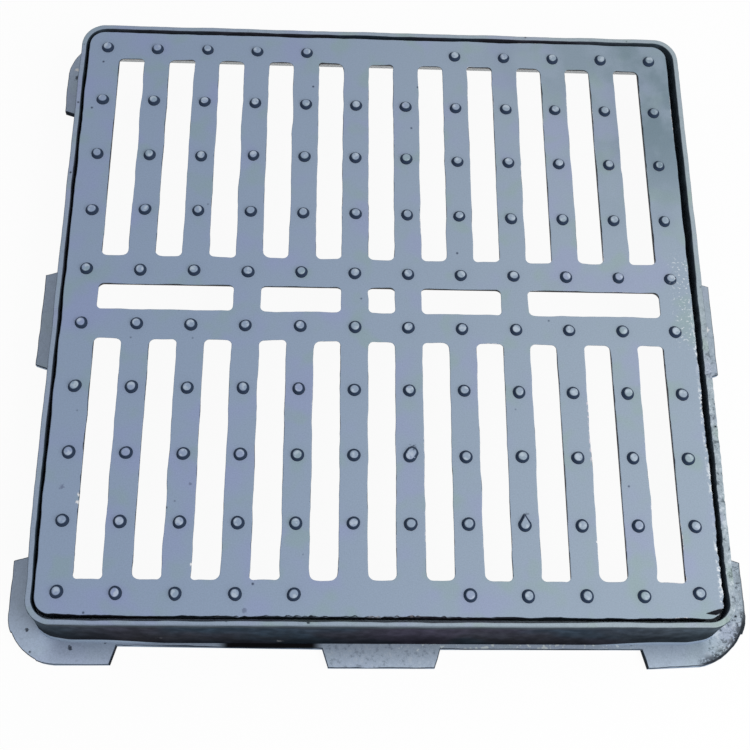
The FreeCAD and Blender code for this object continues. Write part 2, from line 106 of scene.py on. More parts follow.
# %% Round the edges at one level
def round_edges(shape, level, size, sharper_than):
    edges = []
    for edge in shape.edges:
        flat = all(abs(vert.co.z - level) < 0.01 * MM for vert in edge.verts)
        if flat and edge.is_manifold and edge.calc_face_angle_signed() > math.radians(sharper_than):
            edges.append(edge)
    bmesh.ops.bevel(shape, geom=edges, offset=size, offset_type="OFFSET", segments=2, profile=0.5,
                    affect="EDGES", clamp_overlap=False, material=-1)
    print(len(edges), "edges rounded at", round(level / MM, 1), "mm")


walking_surface = 65 * MM
stud_tops = 68.5 * MM
lug_tops = 6 * MM
round_edges(grate, walking_surface, 0.8 * MM, 40)
round_edges(grate, stud_tops, 0.7 * MM, 20)
round_edges(surround, walking_surface, 0.7 * MM, 40)
round_edges(surround, lug_tops, 0.8 * MM, 40)

# %% [markdown]
# ## Points along the edges
#
# On the real grate no edge is quite straight, and to bend a straight edge it first needs points along it.
# The upright and rounded faces are sliced across, like a loaf, every few millimetres. The edges that are
# still long are then divided. The level faces aren't sliced, because they only have to follow their edges.
# Faces wait in lists and dictionaries, never in sets, whose order would differ from run to run.

# %% Cut long strips across
level_face = 0.999  # a face is level when its normal points up or down by at least this much
cut_clearance = 0.3 * MM  # no slice comes nearer to the end of a face


def cut_across(shape, axis, lowest, highest, step):
    """Cuts the upright and rounded faces between two heights, every step along one axis."""
    waiting = [face for face in shape.faces if abs(face.normal.z) < level_face
               and all(lowest < vert.co.z < highest for vert in face.verts)]
    direction = Vector((axis == 0, axis == 1, 0))
    count = int(max(vert.co[axis] for vert in shape.verts) / step)
    for number in range(-count, count + 1):
        level = number * step
        crossed = []
        ahead = []
        for face in waiting:
            places = [vert.co[axis] for vert in face.verts]
            if max(places) > level + cut_clearance:
                ahead.append(face)
                if min(places) < level - cut_clearance:
                    crossed.append(face)
        bounds = dict.fromkeys(part for face in crossed for part in (*face.edges, *face.verts))
        made = bmesh.ops.bisect_plane(shape, geom=[*crossed, *bounds], dist=0.02 * MM,
                                      plane_co=direction * level, plane_no=direction)
        cut = [part for part in made["geom"] if isinstance(part, bmesh.types.BMFace)]
        waiting = list(dict.fromkeys(ahead + cut))


above_top = 65.05 * MM
for axis in (0, 1):
    cut_across(grate, axis, 57 * MM, above_top, 5 * MM)
    cut_across(surround, axis, 4 * MM, above_top, 5 * MM)
print("grate", len(grate.faces), "faces, frame", len(surround.faces), "faces")


# %% Points along the edges that are still long
def divide_edges(shape, lowest, highest, step):
    """Divides long edges between two heights. The upright faces that gain sides become triangles."""
    groups = {}
    for edge in shape.edges:
        if all(lowest < vert.co.z < highest for vert in edge.verts):
            groups.setdefault(int(edge.calc_length() / step), []).append(edge)
    groups.pop(0, None)
    for cuts, edges in sorted(groups.items()):
        bmesh.ops.bisect_edges(shape, edges=edges, cuts=cuts)
    bent = [face for face in shape.faces if len(face.verts) > 4 and abs(face.normal.z) < level_face]
    bmesh.ops.triangulate(shape, faces=bent)


rim_band = (60 * MM, above_top)
wall_foot = (16 * MM, 23 * MM)
lug_band = (4 * MM, 6.05 * MM)
divide_edges(grate, 57 * MM, above_top, 4 * MM)
for lowest, highest in (rim_band, wall_foot, lug_band):
    divide_edges(surround, lowest, highest, 4 * MM)
print("grate", len(grate.verts), "points, frame", len(surround.verts), "points")

# %% [markdown]
# ## Uneven lines
#
# The sand gave way here and there. Each point moves by a smooth noise of its own place, so neighbours
# move together. Nothing is random: without a seed, the vector noise would come out differently each time
# Blender starts. A bite is the same idea for chips, with only the high parts of the noise kept.


# %% How far each point moves
def smooth_step(value, low, high):
    share = min(1.0, max(0.0, (value - low) / (high - low)))
    return share * share * (3 - 2 * share)


noise.seed_set(7)
usual_peak = 0.4  # the plain noise seldom goes further from 0


def sand_shift(place, size, reach):
    """Sideways shift that changes over about size, and is seldom more than reach."""
    shift = noise.noise_vector(place / size) * reach
    return Vector((shift.x, shift.y, 0))


def bite(place, size, depth):
    """0 over half of the surface, and up to about depth where a flake has come off."""
    return max(0.0, noise.noise(place / size)) * depth / usual_peak


sample = sand_shift(Vector((0, 0, 0.01)), 0.02, 0.001)
print("a shift near the origin", tuple(round(v / MM, 2) for v in sample), "mm")

# %% [markdown]
# ## Slot corners
#
# No two slot corners of the real grate are alike. Some are filled in, because the sand slumped there, and
# a few at the front are nearly square. Each outer corner of a long slot has its own amount, by which the
# points near it move into the slot. Those beside the middle bars differ less, so noise chooses for them.

# %% Slot corners, each filled in or cut out by its own amount
slot_pitch = 50 * MM
grate_middle = -2 * MM
half_slot = 12.25 * MM
slot_starts = 42 * MM
slot_ends = 260 * MM
# For the eleven slots from left to right: left and right corner, in mm of fill. Below 0 it is squarer.
front_corners = ((-0.9, -0.7), (1.0, -0.5), (-0.9, 0.8), (-0.9, -0.3), (0.8, 0.8), (0.8, 0.3),
                 (0.8, 0.3), (0.8, 0.2), (-0.2, -0.2), (1.1, 0.8), (-0.8, -1.0))
back_corners = ((0.2, -0.4), (0.8, -0.4), (0.6, 0.6), (-0.2, 0.8), (-1.0, 1.0), (0.4, -0.6),
                (0.6, 0.4), (-0.8, -0.6), (0.2, 1.4), (-0.4, 0.6), (-0.2, 0.6))


def corner_fill(place):
    """Shift into the slot for points near a corner of a long slot."""
    number = max(0, min(10, round((place.x - grate_middle) / slot_pitch) + 5))
    middle = grate_middle + (number - 5) * slot_pitch
    on_right = place.x > middle
    side = 1 if on_right else -1
    half = 1 if place.y > 0 else -1
    if abs(place.y) > (slot_starts + slot_ends) / 2:
        corner = Vector((middle + side * half_slot, half * slot_ends, walking_surface))
        fill = (back_corners if half == 1 else front_corners)[number][on_right]
        inward = Vector((-side, -half, 0)).normalized()
    else:
        corner = Vector((middle + side * half_slot, half * slot_starts, walking_surface))
        fill = 0.3 + 1.5 * noise.noise(corner * 91)
        inward = Vector((-side, half, 0)).normalized()
    near = 1 - smooth_step((place.xy - corner.xy).length, 1.5 * MM, 7.5 * MM)
    return inward * near * fill * MM


sample = corner_fill(Vector((10 * MM, slot_ends, walking_surface)))
print("fill at one corner", round(sample.length / MM, 2), "mm")

# %% [markdown]
# ## Studs and a corner out of place
#
# The stud at the front right corner of the grate sits 3 mm off its row, and parts of two rows stand back
# by half of that. The front left corner is drawn in a little, and so is the frame's rim round it. Both
# castings therefore share one measure of how near a point is to that corner.

# %% Shifts of studs and of the front left corner
last_stud = Vector((273.0 * MM, -272.45 * MM))
# Rows that stand further back on part of their length: the row, and where that part starts and ends.
rows_set_back = ((88.55 * MM, -252 * MM, 98 * MM), (149.85 * MM, -152 * MM, 48 * MM))


def last_stud_shift(place):
    """Shift of the stud at the front right corner, with the bit of plate that it stands on."""
    on_stud = 1 - smooth_step((place.xy - last_stud).length, 7 * MM, 10 * MM)
    return on_stud * Vector((-1.8 * MM, 2.6 * MM, 0))


def row_shift(place):
    """Shift of the rows that stand back."""
    shift = 0.0
    for row, start, end in rows_set_back:
        if start < place.x < end:
            shift += 1.6 * MM * (1 - smooth_step(abs(place.y - row), 7.5 * MM, 12 * MM))
    return Vector((0, shift, 0))


def near_front_left(place):
    """1 at the front left corner, and 0 away from it."""
    return smooth_step(-place.x, 230 * MM, 285 * MM) * smooth_step(-place.y, 200 * MM, 275 * MM)


print("the last stud moves by", round(last_stud_shift(last_stud.to_3d()).length / MM, 1), "mm")

# %% [markdown]
# ## Ragged front edge and chipped right edge
#
# The front edge of the plate is ragged, most of all left of its middle. Flakes have come off along the
# front half of the right edge, where a bar was used to lift the grate. A flake goes down as well as in,
# but it leaves the walking surface level. All shifts fade out towards the underside of the plate.

# %% Move the points of the grate
right_edge = max(vert.co.x for vert in grate.verts)
front_edge = min(vert.co.y for vert in grate.verts)


def front_break(place):
    """How far the front edge is broken off."""
    at_front = 1 - smooth_step(place.y, front_edge + 2 * MM, front_edge + 5 * MM)
    broken = 1 - smooth_step(abs(place.x + 40 * MM), 60 * MM, 150 * MM)
    return at_front * bite(place, 4 * MM, (0.2 + 0.8 * broken) * MM)


def right_flake(place):
    """How deep a flake has come off the right edge."""
    at_right = smooth_step(place.x, right_edge - 5 * MM, right_edge - 2 * MM)
    worn_stretch = 1 - smooth_step(place.y, -60 * MM, 20 * MM)
    return at_right * worn_stretch * bite(place, 5 * MM, 0.7 * MM)


for vert in grate.verts:
    place = vert.co.copy()
    near_top = smooth_step(place.z, 57 * MM, 63 * MM)
    shift = sand_shift(place, 22 * MM, 0.9 * MM) + sand_shift(place, 7 * MM, 0.25 * MM)
    shift += corner_fill(place) + row_shift(place)
    shift.y += front_break(place)
    flake = right_flake(place)
    shift.x -= flake
    if place.z < walking_surface - 0.05 * MM:
        shift.z -= 0.5 * flake
    shift += last_stud_shift(place)
    shift += near_front_left(place) * Vector((1.6 * MM, 1.0 * MM, 0))
    vert.co = place + near_top * shift
print("right edge at", round(right_edge / MM, 1), "mm, front edge at", round(front_edge / MM, 1), "mm")

# %% [markdown]
# ## Rim and wall of the frame
#
# The rim wavers less than the slots do. Its front corners are drawn in by a millimetre or two, and the
# foot of the wall there even more. Its right side is rough on top, and wider along its front half,
# because its inner edge stands further in. A point of the wall moves partly with the rim and partly with
# the foot, by its height.

# %% How the rim and the foot of the wall move
rim_half_length = 303.35 * MM
rim_half_width = 299.65 * MM
rim_radius = 23 * MM
flare_top = 22.5 * MM
blend_height = 41.5 * MM  # over this height above the flare, the wall comes to follow the rim


def rim_shift(place):
    front_right = smooth_step(place.x, 120 * MM, 290 * MM) * smooth_step(-place.y, 80 * MM, 280 * MM)
    return (sand_shift(place, 30 * MM, 0.6 * MM) + sand_shift(place, 8 * MM, 0.2 * MM)
            + front_right * Vector((-1.2 * MM, 0.9 * MM, 0))
            + near_front_left(place) * Vector((1.8 * MM, 1.0 * MM, 0)))


def right_rim_bite(place):
    """How deep the top of the right rim is pitted."""
    rough = smooth_step(place.x, 285 * MM, 295 * MM) * smooth_step(-place.y, -60 * MM, 80 * MM)
    return rough * bite(place, 5 * MM, 1.0 * MM)


def right_rim_gain(place):
    """How much further in the inner edge of the right rim stands."""
    return (1.6 * MM * smooth_step(-place.y, -90 * MM, 60 * MM)
            * smooth_step(place.y, -285 * MM, -260 * MM))


def foot_shift(place):
    """Shift towards the middle for the lower wall round the two front corners."""
    side = 1 if place.x > 0 else -1
    corner = Vector((side * 301.6 * MM, -297.9 * MM))
    near = 1 - smooth_step((place.xy - corner).length, 8 * MM, 34 * MM)
    return near * Vector((-side * 4.2 * MM, 2.4 * MM, 0))


sample = foot_shift(Vector((301.6 * MM, -297.9 * MM, 0)))
print("the foot of a front corner moves by", round(sample.length / MM, 1), "mm")

# %% [markdown]
# ## Lugs of the frame
#
# The mortar bed holds the frame by its lugs, and they are what hits the ground when it is dropped. The
# corner lugs are more worn than the middle ones. Their tips are a little short and their corners rounder,
# most of all at the front right, where the outline is nibbled too.

# %% How the lugs move
half_length = max(vert.co.x for vert in surround.verts)
half_width = max(vert.co.y for vert in surround.verts)
rough_corner = Vector((300 * MM, -300 * MM, lug_tops))
lug_corner = Vector((286.35 * MM, 282.65 * MM))
# How far the wear goes in at each lug corner that has any: which side, which end, and the depth.
worn_corners = ((1, -1, 3.4 * MM), (-1, -1, 1.4 * MM), (-1, 1, 2.4 * MM))


def corner_wear(place):
    """Shift towards the middle for points on the rounded tip of a corner lug."""
    for side, end, depth in worn_corners:
        out = Vector((side * place.x, end * place.y)) - lug_corner
        if out.x > 0 and out.y > 0:
            share = math.sin(2 * math.atan2(out.y, out.x))
            return Vector((-side * depth * share, -end * depth * share, 0)) * math.sqrt(0.5)
    return Vector((0, 0, 0))


def short_tips(place):
    """Shift for the tips of the front and left lugs, and for the end of the front right one."""
    shift = Vector((0, 0, 0))
    if place.y < -rim_half_width:
        shift.y = 2.0 * MM * smooth_step(-place.x, 100 * MM, 200 * MM)
        shift.y += 2.6 * MM * smooth_step(place.x, 215 * MM, 300 * MM)
    if place.x < -rim_half_length:
        shift.x = 1.2 * MM + 1.0 * MM * smooth_step(place.y, 100 * MM, 200 * MM)
    if place.x > rim_half_length:
        near_end = (smooth_step(place.y, -262 * MM, -240 * MM)
                    - smooth_step(place.y, -180 * MM, -120 * MM))
        shift.y += 2.6 * MM * near_end
    return shift


def lug_shift(place):
    knocked = 1 - smooth_step((place - rough_corner).length, 40 * MM, 70 * MM)
    waver = (sand_shift(place, 18 * MM, 0.7 * MM)
             + sand_shift(place, 6 * MM, (0.2 + 0.5 * knocked) * MM))
    return waver + corner_wear(place) + short_tips(place)


print("the frame reaches", round(half_length / MM, 1), "and", round(half_width / MM, 1), "mm out")

# %% Move the points of the frame
rim_thickness = 2.4 * MM  # as far in as this, a point belongs to the outside of the wall
wall_foot_reach = 7.2 * MM

for vert in surround.verts:
    place = vert.co.copy()
    beyond_rim = max(abs(place.x) - rim_half_length, abs(place.y) - rim_half_width)
    out = Vector((max(abs(place.x) - rim_half_length + rim_radius, 0.0),
                  max(abs(place.y) - rim_half_width + rim_radius, 0.0)))
    on_outer_wall = out.length - rim_radius > -rim_thickness and beyond_rim <= wall_foot_reach
    if place.z > 60 * MM:
        shift = rim_shift(place)
        shift.z = -right_rim_bite(place)
        if place.x > 290 * MM and beyond_rim < -rim_thickness:
            shift.x -= right_rim_gain(place)
        vert.co = place + shift
    elif place.z > 5 * MM and on_outer_wall:
        upper = min(1.0, max(0.0, (place.z - flare_top) / blend_height))
        vert.co = place + upper * rim_shift(place) + (1 - upper) * foot_shift(place)
    elif place.z < 7 * MM and beyond_rim > 8 * MM:
        place += smooth_step(beyond_rim, 8 * MM, 11 * MM) * lug_shift(place)
        place.x = max(-half_length, min(half_length, place.x))
        place.y = max(-half_width, min(half_width, place.y))
        vert.co = place
print("frame points", len(surround.verts))

# %% [markdown]
# ## From working copy to piece
#
# Level and upright faces stay flat, and the rounded edges and the studs between them are shaded smooth. A
# flat face gives its edges a sharp break, so no dark streak runs from a rounded edge into the plate.
# Thousands of cuts leave a few slivers behind, so the last step closes the edges that are next to nothing.


# %% Finished pieces that stand for the nodes
def make_piece(name, shape, node_name):
    shape.normal_update()
    for face in shape.faces:
        face.smooth = 0.05 < abs(face.normal.z) < 0.998
    for edge in shape.edges:
        edge.smooth = not edge.is_manifold or edge.calc_face_angle() < math.radians(50)
    bmesh.ops.triangulate(shape, faces=shape.faces)
    bmesh.ops.dissolve_degenerate(shape, dist=0.08 * MM, edges=shape.edges)
    mesh = bpy.data.meshes.new(name)
    shape.to_mesh(mesh)
    shape.free()
    piece = bpy.data.objects.new(name, mesh)
    bpy.context.scene.collection.objects.link(piece)
    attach(piece, "root")
    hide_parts(node_name)
    mesh.calc_loop_triangles()
    print(name, len(mesh.loop_triangles), "triangles")
    return piece


grate_piece = make_piece("slotted_grate", grate, "grate")
frame_piece = make_piece("grate_frame", surround, "frame")

# %% [markdown]
# ## Helpers for shader nodes
#
# A node tree is easier to read as sums than as boxes and wires. Each helper adds one node or a few, takes
# plain numbers or the sockets of other nodes, and gives back the socket to go on with.


# %% Helpers that add nodes
def add_node(tree, kind, inputs=None, **settings):
    node = tree.nodes.new(kind)
    for name, value in settings.items():
        setattr(node, name, value)
    for name, value in (inputs or {}).items():
        if isinstance(value, bpy.types.NodeSocket):
            tree.links.new(value, node.inputs[name])
        else:
            node.inputs[name].default_value = value
    return node


def calculate(tree, operation, first, *others):
    """Takes all the values together by one operation, from left to right."""
    total = first
    for other in others:
        total = add_node(tree, "ShaderNodeMath", {0: total, 1: other}, operation=operation).outputs[0]
    return total


def fade(tree, value, low, high, start=0.0, end=1.0):
    """Smooth step from start to end while the value goes from low to high."""
    node = add_node(tree, "ShaderNodeMapRange", {"Value": value, "From Min": low, "From Max": high,
                                                 "To Min": start, "To Max": end},
                    interpolation_type="SMOOTHSTEP")
    return node.outputs["Result"]


def clouds(tree, place, size, detail=2.0, roughness=0.5):
    """Cloudy noise whose lumps are about as wide as size, in metres."""
    node = add_node(tree, "ShaderNodeTexNoise", {"Vector": place, "Scale": 1 / size, "Detail": detail,
                                                 "Roughness": roughness})
    return node.outputs["Fac"]


def blend_colours(tree, share, first, second, blend="MIX"):
    node = add_node(tree, "ShaderNodeMix", {0: share, 6: first, 7: second},
                    data_type="RGBA", blend_type=blend)
    return node.outputs[2]


print("helpers that add nodes ready")


# %% Helpers made of other helpers
def product(tree, *factors):
    return calculate(tree, "MULTIPLY", *factors)


def largest(tree, *values):
    return calculate(tree, "MAXIMUM", *values)


def fade_out(tree, value, low, high, start=1.0):
    return fade(tree, value, low, high, start, 0.0)


def stretch(tree, value, low, high, margin):
    """1 while the value is between low and high, and 0 beyond the margin."""
    return product(tree, fade(tree, value, low - margin, low), fade_out(tree, value, high, high + margin))


def patches(tree, place, size, low, high, start=0.0, end=1.0, detail=2.0, roughness=0.5):
    """Soft patches: start where the clouds are below low, and end where they are above high."""
    return fade(tree, clouds(tree, place, size, detail, roughness), low, high, start, end)


def tint(tree, base, other):
    """A colour multiplied by another colour, or by a plain value."""
    return blend_colours(tree, 1.0, base, other, "MULTIPLY")


def colour(red, green, blue):
    return (red, green, blue, 1.0)


print("helpers for masks and colours ready")

# %% [markdown]
# ## Sand-cast skin
#
# Iron poured into a sand mould copies the grains. The skin has three scales: a grain of about a
# millimetre, low swells a centimetre or more across, and stray pits where sand or gas was trapped.
# Both castings share it, so it is one node group. It gives a height for bump, and masks of pits and grain.


# %% Node group for the cast skin
def make_cast_skin():
    group = bpy.data.node_groups.new("cast_skin", "ShaderNodeTree")
    for name, default in (("Grain size", 0.0011), ("Swell size", 0.014), ("Pit size", 0.007),
                          ("Pit share", 0.04), ("Pit depth", 0.7)):
        socket = group.interface.new_socket(name, in_out="INPUT", socket_type="NodeSocketFloat")
        socket.default_value = default
    for name in ("Height", "Pits", "Grain"):
        group.interface.new_socket(name, in_out="OUTPUT", socket_type="NodeSocketFloat")
    given = add_node(group, "NodeGroupInput").outputs
    place = add_node(group, "ShaderNodeTexCoord").outputs["Object"]

    def sized_noise(size, detail):
        scale = calculate(group, "DIVIDE", 1.0, size)
        node = add_node(group, "ShaderNodeTexNoise", {"Vector": place, "Scale": scale, "Detail": detail})
        return node.outputs["Fac"]

    grain = sized_noise(given["Grain size"], 3.0)
    swell = sized_noise(given["Swell size"], 2.0)
    pit_scale = calculate(group, "DIVIDE", 1.0, given["Pit size"])
    cells = add_node(group, "ShaderNodeTexVoronoi", {"Vector": place, "Scale": pit_scale})
    near = fade_out(group, cells.outputs["Distance"], 0.05, 0.25)
    lot = add_node(group, "ShaderNodeSeparateColor", {"Color": cells.outputs["Color"]}).outputs[0]
    pits = product(group, near, calculate(group, "LESS_THAN", lot, given["Pit share"]))
    height = calculate(group, "ADD", product(group, grain, 0.5), product(group, swell, 0.6))
    height = calculate(group, "SUBTRACT", height, product(group, pits, given["Pit depth"]))
    add_node(group, "NodeGroupOutput", {"Height": height, "Pits": pits, "Grain": grain})
    return group


cast_skin = make_cast_skin()
print("node group", cast_skin.name)

# %% [markdown]
# ## Which way a face looks
#
# The faces that look up are pale and bluish: partly dust and handling, and partly a painted reflection of
# the sky on the nearly black coat. On the upright walls and inside the slots the coat is nearly black. A
# mask from the surface normal tells them apart. The thin round edges lie between the two. That is where
# the coat is rubbed through on the grate, and where painted shade darkens the edges of the lugs, so they
# get a mask of their own.


# %% Node group for the way a face looks
def make_facing():
    group = bpy.data.node_groups.new("facing", "ShaderNodeTree")
    for name in ("Up", "Edge"):
        group.interface.new_socket(name, in_out="OUTPUT", socket_type="NodeSocketFloat")
    normal = add_node(group, "ShaderNodeTexCoord").outputs["Normal"]
    tilt = add_node(group, "ShaderNodeSeparateXYZ", {"Vector": normal}).outputs["Z"]
    add_node(group, "NodeGroupOutput", {"Up": fade(group, tilt, 0.62, 0.95),
                                        "Edge": stretch(group, tilt, 0.35, 0.93, 0.06)})
    return group


facing = make_facing()
print("node group", facing.name)

# %% [markdown]
# ## Stains in the coat
#
# The pale coat is partly dust and partly a painted reflection of the sky, and it isn't one colour. It
# drifts from blue-violet on the left to a lighter grey on the right, and soft violet and green stains as
# wide as a bar lie over that. Both castings have the same coat, so
# the stains are a node group too, and a material can give it two colours of its own.


# %% Node group for the stained coat
def make_stained_coat():
    group = bpy.data.node_groups.new("stained_sheen_coat", "ShaderNodeTree")
    # Left and Right are pale colours, partly dust and partly a painted reflection of the sky.
    for name, default in (("Left", colour(0.252, 0.325, 0.452)), ("Right", colour(0.295, 0.364, 0.448))):
        socket = group.interface.new_socket(name, in_out="INPUT", socket_type="NodeSocketColor")
        socket.default_value = default
    group.interface.new_socket("Colour", in_out="OUTPUT", socket_type="NodeSocketColor")
    given = add_node(group, "NodeGroupInput").outputs
    place = add_node(group, "ShaderNodeTexCoord").outputs["Object"]
    across = add_node(group, "ShaderNodeSeparateXYZ", {"Vector": place}).outputs["X"]
    drift = blend_colours(group, fade(group, across, -0.28, 0.28), given["Left"], given["Right"])
    violet = patches(group, place, 0.050, 0.50, 0.68, 0.0, 0.75)
    green = patches(group, place, 0.034, 0.53, 0.70, 0.0, 0.75)
    stained = blend_colours(group, violet, drift, tint(group, drift, colour(1.02, 0.95, 1.09)))
    stained = blend_colours(group, green, stained, tint(group, stained, colour(0.96, 1.03, 0.87)))
    add_node(group, "NodeGroupOutput", {"Colour": stained})
    return group


stained_sheen_coat = make_stained_coat()
print("node group", stained_sheen_coat.name)

# %% [markdown]
# ## Start and end of a coat
#
# Both coats are placed by the same values: where a point lies on the casting, its skin, and which way it
# looks. They also end alike. The roughness drifts a little, and the height of the skin goes into a bump,
# because grains of a millimetre are too fine to model.


# %% Shared start and end of both coats
class Coat:
    """A new material, with the values that its colours are placed by."""

    def __init__(self, name, pit_share):
        self.material = bpy.data.materials.new(name)
        self.material.use_nodes = True
        tree = self.tree = self.material.node_tree
        self.place = add_node(tree, "ShaderNodeTexCoord").outputs["Object"]
        split = add_node(tree, "ShaderNodeSeparateXYZ", {"Vector": self.place}).outputs
        self.x, self.y, self.z = split["X"], split["Y"], split["Z"]
        self.skin = add_node(tree, "ShaderNodeGroup", {"Pit share": pit_share},
                             node_tree=cast_skin).outputs
        self.looks = add_node(tree, "ShaderNodeGroup", node_tree=facing).outputs

    def finish(self, base, smoothest, roughest, mirror):
        """Joins colour, roughness and bump to the shader."""
        tree = self.tree
        shader = tree.nodes["Principled BSDF"]
        shader.inputs["Specular IOR Level"].default_value = mirror
        tree.links.new(base, shader.inputs["Base Color"])
        dull = patches(tree, self.place, 0.02, 0.3, 0.7, smoothest, roughest, detail=3.0, roughness=0.6)
        tree.links.new(dull, shader.inputs["Roughness"])
        bump = add_node(tree, "ShaderNodeBump", {"Height": self.skin["Height"], "Strength": 0.35,
                                                 "Distance": 0.4 * MM})
        tree.links.new(bump.outputs["Normal"], shader.inputs["Normal"])
        return self.material


print("every coat uses the node groups", cast_skin.name, "and", facing.name)

# %% [markdown]
# ## Upright faces, and marks at given places
#
# The coat of the upright faces is nearly black, and changes slowly between teal, brown and violet. Dents,
# burrs, holes and bare spots can be counted on the real castings, so each is a small ball of colour at
# its own place. Noise makes the distance to it uneven, which gives the spot a ragged rim.


# %% Dark walls and ragged marks
def dark_walls(tree, place, lighter_share):
    """Nearly black coat of the upright faces, paler where rubbed is 1."""
    brown = blend_colours(tree, patches(tree, place, 0.10, 0.42, 0.58),
                          colour(0.026, 0.042, 0.064), colour(0.034, 0.035, 0.050))
    violet = blend_colours(tree, patches(tree, place, 0.16, 0.50, 0.62), brown,
                           colour(0.044, 0.040, 0.064))
    paler = blend_colours(tree, lighter_share, violet, colour(0.068, 0.096, 0.124))
    return tint(tree, paler, patches(tree, place, 0.012, 0.35, 0.75, 0.75, 1.35, detail=3.0))


def distance(tree, place, target):
    node = add_node(tree, "ShaderNodeVectorMath", {0: place, 1: target}, operation="DISTANCE")
    return node.outputs["Value"]


def marks(tree, place, spots):
    """1 in small ragged spots, each given by its place and its radius in millimetres."""
    ragged = patches(tree, place, 0.002, 0.3, 0.7, 0.6, 1.4, detail=3.0)
    total = 0.0
    for x, y, z, radius in spots:
        away = product(tree, distance(tree, place, (x * MM, y * MM, z * MM)), ragged)
        total = largest(tree, total, fade_out(tree, away, 0.4 * radius * MM, radius * MM))
    return total


print("walls and marks ready")

# %% [markdown]
# ## The grate's coat
#
# On the walking surface the coat is nearly clean, and its pale colour is partly a painted reflection of
# the sky. Only the back right corner has stayed dirty, and some of that dirt runs along the back edge.
# The tops of the studs get a painted highlight. Three dents in the plate are dark, and so are the lump and
# the tail that two studs were cast with.

# %% Marks that can be counted on the grate, in mm: x, y, z and radius
dents = ((-279.6, -181.5, 65, 2.4), (-169.6, -177.6, 65, 1.9), (-118.4, -286.0, 65, 2.2))
burrs = ((26.5, -141.5, 67.5, 4.0), (123.7, -201.8, 67.0, 3.0))
bare_spots = ((-264.7, -194.6, 65, 1.9), (-265.0, -188.0, 65, 1.5), (-164.8, -247.4, 65, 1.6),
              (185.1, -225.6, 65, 1.4))
print(len(dents) + len(burrs) + len(bare_spots), "marks on the grate")


# %% Walking surface and walls of the grate
def grate_top(coat):
    """Colour of the walking surface and of the tops of the studs."""
    tree, place, x, y = coat.tree, coat.place, coat.x, coat.y
    # Pale coat, partly dust and partly a painted reflection of the sky.
    base = add_node(tree, "ShaderNodeGroup", node_tree=stained_sheen_coat).outputs["Colour"]
    corner = product(tree, fade(tree, x, 0.17, 0.27), fade(tree, y, 0.05, 0.20))
    back_margin = product(tree, fade(tree, x, 0.06, 0.20), fade(tree, y, 0.18, 0.27), 0.5)
    dirty = product(tree, largest(tree, corner, back_margin),
                    patches(tree, place, 0.04, 0.35, 0.6, 0.35, 1.0, detail=3.0))
    base = blend_colours(tree, dirty, base, colour(0.175, 0.240, 0.290))
    base = tint(tree, base, fade(tree, coat.skin["Grain"], 0.30, 0.70, 0.95, 1.05))
    # Painted highlight on the tops of the studs.
    lighter_share = product(tree, fade(tree, coat.z, stud_tops - 0.5 * MM, stud_tops - 0.1 * MM),
                     patches(tree, place, 0.005, 0.45, 0.65), 0.45)
    base = blend_colours(tree, lighter_share, base, colour(0.58, 0.66, 0.74))
    base = blend_colours(tree, coat.skin["Pits"], base, colour(0.06, 0.08, 0.13))
    dented = product(tree, marks(tree, place, dents), 0.6)
    base = blend_colours(tree, dented, base, colour(0.10, 0.12, 0.20))
    burred = product(tree, marks(tree, place, burrs), 0.8)
    return blend_colours(tree, burred, base, colour(0.035, 0.050, 0.080))


def grate_walls(coat):
    """Colour of the slot walls, and of the sides of the studs above them."""
    tree = coat.tree
    wall = tint(tree, dark_walls(tree, coat.place, 0.15), colour(0.35, 0.35, 0.35))
    on_studs = fade(tree, coat.z, walking_surface + 0.1 * MM, walking_surface + 0.5 * MM)
    return blend_colours(tree, on_studs, wall, colour(0.026, 0.042, 0.078))


print("top and walls of the grate ready")

# %% [markdown]
# ## Where the grate is rubbed through
#
# The coat is rubbed to pale specks where the grate is handled: at the front half of its right edge, on a
# scratched patch beside it, along one side of a slot, and on a few of the round edges. None of it reaches
# far down the walls, because a hand or a bar only touches the top.


# %% Rubbed places, then the whole coat of the grate
def rub_grate(coat, base):
    tree, place, x, y, z = coat.tree, coat.place, coat.x, coat.y, coat.z
    top_only = fade(tree, z, walking_surface - 5 * MM, walking_surface - 2 * MM)
    streak = product(tree, stretch(tree, x, 0.1848, 0.1875, 0.001),
                     stretch(tree, y, -0.150, -0.098, 0.005),
                     patches(tree, place, 0.0030, 0.48, 0.58, detail=3.0), top_only, 0.7)
    base = blend_colours(tree, streak, base, colour(0.66, 0.60, 0.66))
    base = blend_colours(tree, marks(tree, place, bare_spots), base, colour(0.72, 0.73, 0.76))
    specks = patches(tree, place, 0.0030, 0.48, 0.58, detail=4.0, roughness=0.7)
    below_studs = fade_out(tree, z, walking_surface, walking_surface + 0.3 * MM)
    few = patches(tree, place, 0.060, 0.56, 0.66, 0.0, 0.8)
    edges = product(tree, coat.looks["Edge"], below_studs, few, specks, fade(tree, x, -0.30, 0.20))
    base = blend_colours(tree, edges, base, colour(0.70, 0.68, 0.72))
    handled = product(tree, fade(tree, x, 0.2872, 0.2898), fade_out(tree, y, -0.06, 0.03), top_only,
                      patches(tree, place, 0.030, 0.40, 0.55, 0.2, 1.0), specks, 0.9)
    scratched = product(tree, top_only, fade(tree, x, 0.268, 0.280),
                        stretch(tree, y, -0.030, 0.040, 0.02),
                        patches(tree, place, 0.0024, 0.60, 0.66), 0.6)
    return blend_colours(tree, largest(tree, handled, scratched), base, colour(0.74, 0.78, 0.82))


